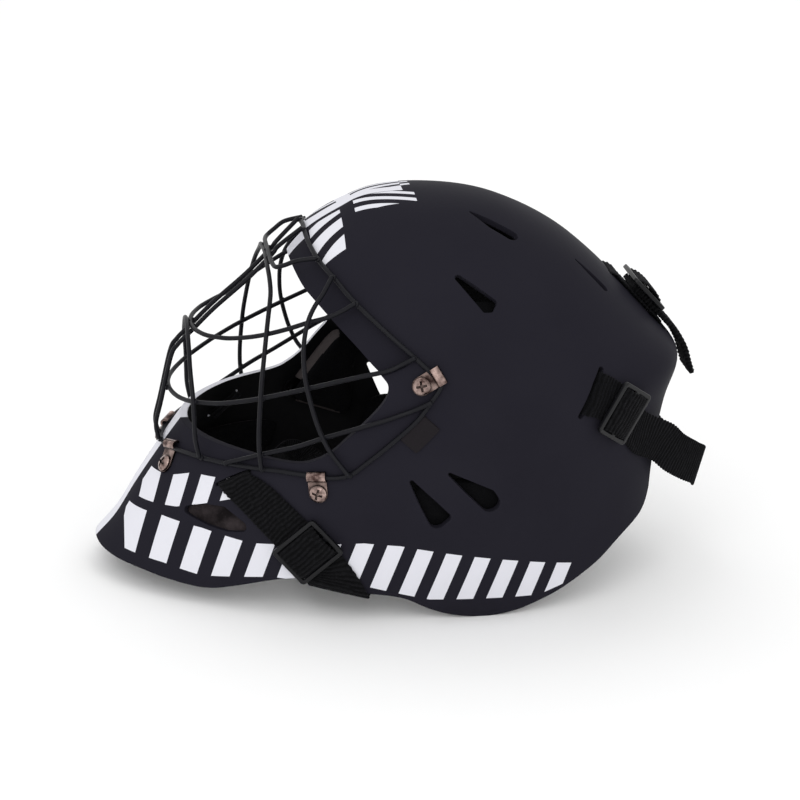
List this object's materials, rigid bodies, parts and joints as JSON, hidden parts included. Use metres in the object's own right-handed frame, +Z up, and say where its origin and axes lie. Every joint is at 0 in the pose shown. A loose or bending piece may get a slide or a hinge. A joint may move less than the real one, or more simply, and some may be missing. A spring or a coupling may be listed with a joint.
{
  "type": "goalkeeper helmet",
  "caption": "Goalkeeper's helmet for field hockey or floorball: moulded shell, welded wire face cage held by clips, foam pads, chin cup and elastic harness with sliders.",
  "frame": {"origin": "on the floor under the middle of the whole helmet", "axes": "+X to the back of the head, -X to the face, +Y the wearer's right, +Z up to the crown"},
  "size_m": [0.3554, 0.2194, 0.225],
  "materials": {
    "shell": "matte, moulded",
    "wire": "satin powder coat",
    "clips": "bronze-toned nickel plate",
    "screws": "bronze-toned nickel plate",
    "nuts": "zinc plate",
    "patches": "matte",
    "foam": "foam with a knitted cover",
    "webbing": "ribbed elastic webbing",
    "sliders": "satin"
  },
  "bodies": {
    "helmet": {"shell": "shell", "cage_rim": "wire", "brow_bar": "wire", "centre_bar_left": "wire", "centre_bar_right": "wire", "front_arch": "wire", "middle_arch": "wire", "rear_bar_left": "wire", "rear_bar_right": "wire", "upper_bar": "wire", "middle_bar": "wire", "lower_bar_left": "wire", "lower_bar_right": "wire", "clip_temple_left": "clips", "clip_temple_right": "clips", "clip_side_left": "clips", "clip_side_right": "clips", "clip_chin_left": "clips", "clip_chin_right": "clips", "screw_temple_left": "screws", "screw_temple_right": "screws", "screw_side_left": "screws", "screw_side_right": "screws", "screw_chin_left": "screws", "screw_chin_right": "screws", "nut_temple_left": "nuts", "nut_temple_right": "nuts", "nut_side_left": "nuts", "nut_side_right": "nuts", "nut_chin_left": "nuts", "nut_chin_right": "nuts", "ear_patch_left": "patches", "ear_patch_right": "patches", "pad_brow": "foam", "pad_crown": "foam", "pad_side_left": "foam", "pad_side_right": "foam", "pad_rear": "foam", "pad_cheek_left": "foam", "pad_cheek_right": "foam", "pad_jaw_left": "foam", "pad_jaw_right": "foam", "pad_lower_left": "foam", "pad_lower_right": "foam", "pad_chin": "foam", "chin_cup": "foam", "chin_strap_left": "webbing", "chin_strap_right": "webbing", "neck_strap": "webbing", "crown_strap": "webbing"},
    "chin_slider_left_body": {"chin_slider_left": "sliders"},
    "chin_slider_right_body": {"chin_slider_right": "sliders"},
    "neck_slider_left_body": {"neck_slider_left": "sliders"},
    "neck_slider_right_body": {"neck_slider_right": "sliders"},
    "crown_slider_body": {"crown_slider": "sliders"}
  },
  "joints": [
    {"name": "chin_slider_left_along_webbing", "type": "slide", "parent": "helmet", "child": "chin_slider_left_body", "axis": [0.6905, -0.1574, -0.706], "range_m": [-0.008, 0.008]},
    {"name": "chin_slider_right_along_webbing", "type": "slide", "parent": "helmet", "child": "chin_slider_right_body", "axis": [0.6905, 0.1574, -0.706], "range_m": [-0.008, 0.008]},
    {"name": "neck_slider_left_along_webbing", "type": "slide", "parent": "helmet", "child": "neck_slider_left_body", "axis": [0.6826, 0.5206, -0.5129], "range_m": [-0.008, 0.008]},
    {"name": "neck_slider_right_along_webbing", "type": "slide", "parent": "helmet", "child": "neck_slider_right_body", "axis": [0.6826, -0.5206, -0.5129], "range_m": [-0.008, 0.008]},
    {"name": "crown_slider_along_webbing", "type": "slide", "parent": "helmet", "child": "crown_slider_body", "axis": [0.7103, 0, -0.7039], "range_m": [-0.003, 0.004]}
  ]
}
